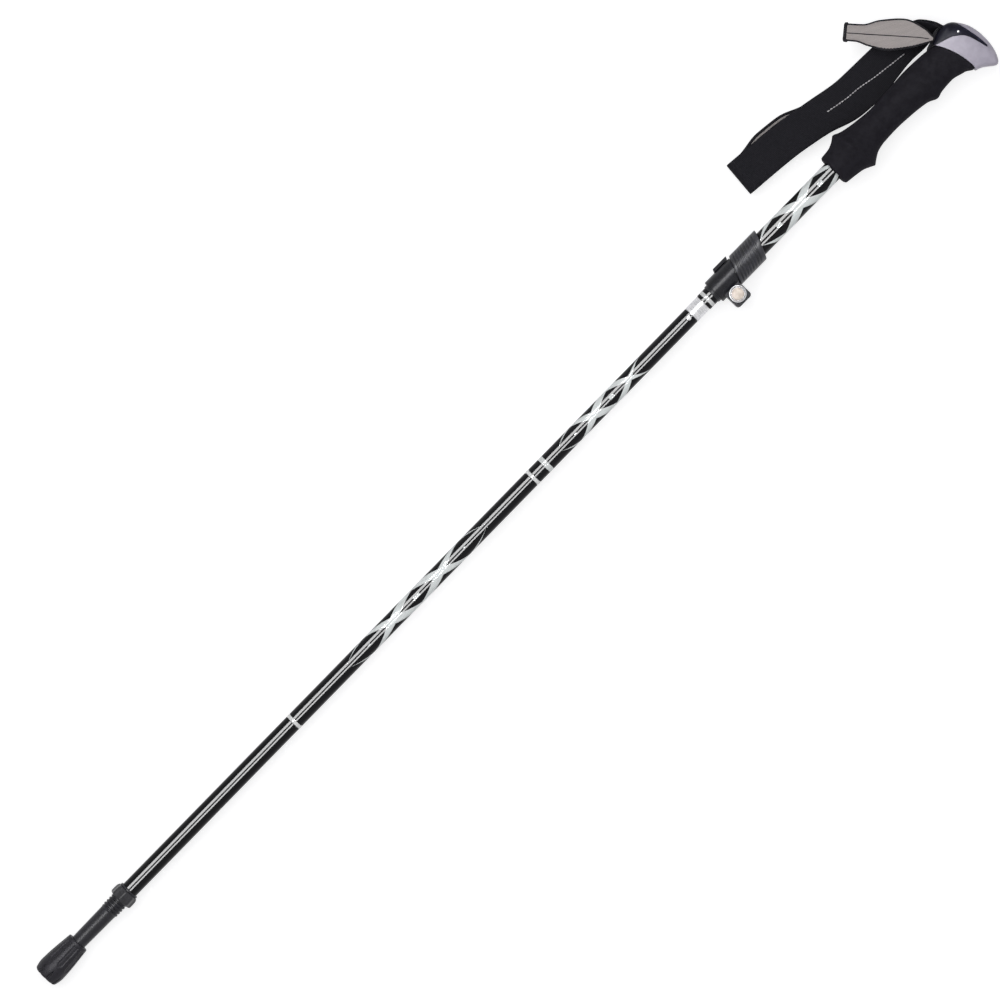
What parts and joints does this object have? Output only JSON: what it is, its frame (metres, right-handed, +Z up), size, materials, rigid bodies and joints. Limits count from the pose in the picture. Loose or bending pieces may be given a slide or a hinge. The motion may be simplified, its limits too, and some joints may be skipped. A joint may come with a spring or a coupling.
{
  "type": "folding hiking stick",
  "caption": "Folding trekking pole with foam grip, hooked head, wrist strap, lever clamp, cord-tensioned shaft sections, screw basket ring and rubber boot.",
  "frame": {"origin": "centre of the pole's bounding box, on the ground that it lies on", "axes": "+X along the pole from the rubber boot to the grip head, +Z up from the ground, +Y to the side that the wrist strap lies on; the tubes' axis rises 0.56 degrees towards +X"},
  "size_m": [1.1296, 0.118, 0.0438],
  "materials": {
    "boot_rubber": "matte black rubber with faint moulding texture",
    "black_plastic": "satin black moulded plastic",
    "shaft_paint": "gloss black paint over aluminium tube, with printed white shapes",
    "foam": "fine-pored black closed-cell foam, matte",
    "lilac_plastic": "smooth satin grey-lilac plastic",
    "dark_plastic": "gloss near-black navy plastic",
    "webbing": "woven black webbing with a grey lining and pale edge stitches",
    "tail_webbing": "grey woven cloth with a black bound edge and a centre seam",
    "cord": "coated black cord",
    "bright_aluminium": "turned bright aluminium",
    "copper_disc": "copper-coloured anodised disc",
    "steel": "plain steel",
    "white_collar": "white painted collar on an aluminium ferrule"
  },
  "bodies": {
    "handle": {"upper_tube": "shaft_paint", "foam_grip": "foam", "grip_head": "lilac_plastic", "strap_wedge": "dark_plastic", "strap_pin": "steel", "wrist_strap": "webbing", "strap_tail": "tail_webbing", "clamp_sleeve": "black_plastic", "clamp_band": "black_plastic", "clamp_bolt": "steel", "lever_barrel": "steel", "tube_end_bush": "black_plastic"},
    "lever": {"clamp_lever": "black_plastic"},
    "nut": {"thumb_nut": "bright_aluminium", "nut_disc": "copper_disc"},
    "inner": {"inner_tube": "shaft_paint", "inner_tube_bush": "black_plastic", "cord_bulkhead": "bright_aluminium", "tension_spring": "steel"},
    "section_3": {"section_3_tube": "shaft_paint", "section_3_ferrule": "bright_aluminium", "section_3_guide": "black_plastic", "snap_clip": "steel"},
    "button": {"snap_button": "steel"},
    "section_4": {"section_4_tube": "shaft_paint", "section_4_ferrule": "white_collar", "section_4_guide": "black_plastic"},
    "section_5": {"section_5_tube": "shaft_paint", "section_5_ferrule": "white_collar", "section_5_guide": "black_plastic", "tip_holder": "black_plastic", "carbide_tip": "steel", "tension_cord": "cord", "cord_anchor": "bright_aluminium", "cord_stop": "bright_aluminium"},
    "basket": {"basket_ring": "black_plastic"},
    "boot": {"rubber_boot": "boot_rubber"}
  },
  "joints": [
    {"name": "length_slide", "type": "slide", "parent": "handle", "child": "inner", "axis": [-1, 0, -0.0097], "range_m": [-0.0093, 0.19]},
    {"name": "section_3_pull", "type": "slide", "parent": "inner", "child": "section_3", "axis": [-1, 0, -0.0097], "range_m": [0, 0.034], "stiffness_N_per_m": 120, "springref_m": -0.05, "deforming": ["tension_spring"]},
    {"name": "section_4_pull", "type": "slide", "parent": "section_3", "child": "section_4", "axis": [-1, 0, -0.0097], "range_m": [0, 0.034], "stiffness_N_per_m": 120, "springref_m": -0.05, "deforming": ["tension_spring"]},
    {"name": "section_5_pull", "type": "slide", "parent": "section_4", "child": "section_5", "axis": [-1, 0, -0.0097], "range_m": [0, 0.034], "stiffness_N_per_m": 120, "springref_m": -0.05, "deforming": ["tension_spring"]},
    {"name": "snap_button_press", "type": "slide", "parent": "section_3", "child": "button", "axis": [0.0097, 0, -1], "range_m": [0, 0.0022], "stiffness_N_per_m": 1500, "springref_m": -0.001, "deforming": ["snap_clip"]},
    {"name": "lever_flip", "type": "hinge", "parent": "handle", "child": "lever", "pos_m": [0.26241, -0.03766, 0.00842], "axis": [-1, 0, -0.0097], "range_deg": [0, 150]},
    {"name": "nut_turn", "type": "hinge", "parent": "handle", "child": "nut", "pos_m": [0.26222, -0.03766, 0.02802], "axis": [-0.0097, 0, 1], "continuous": true},
    {"name": "basket_turn", "type": "hinge", "parent": "section_5", "child": "basket", "pos_m": [-0.47328, -0.02216, 0.01325], "axis": [1, 0, 0.0097], "continuous": true},
    {"name": "boot_pull_off", "type": "slide", "parent": "section_5", "child": "boot", "axis": [-1, 0, -0.0097], "range_m": [0, 0.036]}
  ]
}
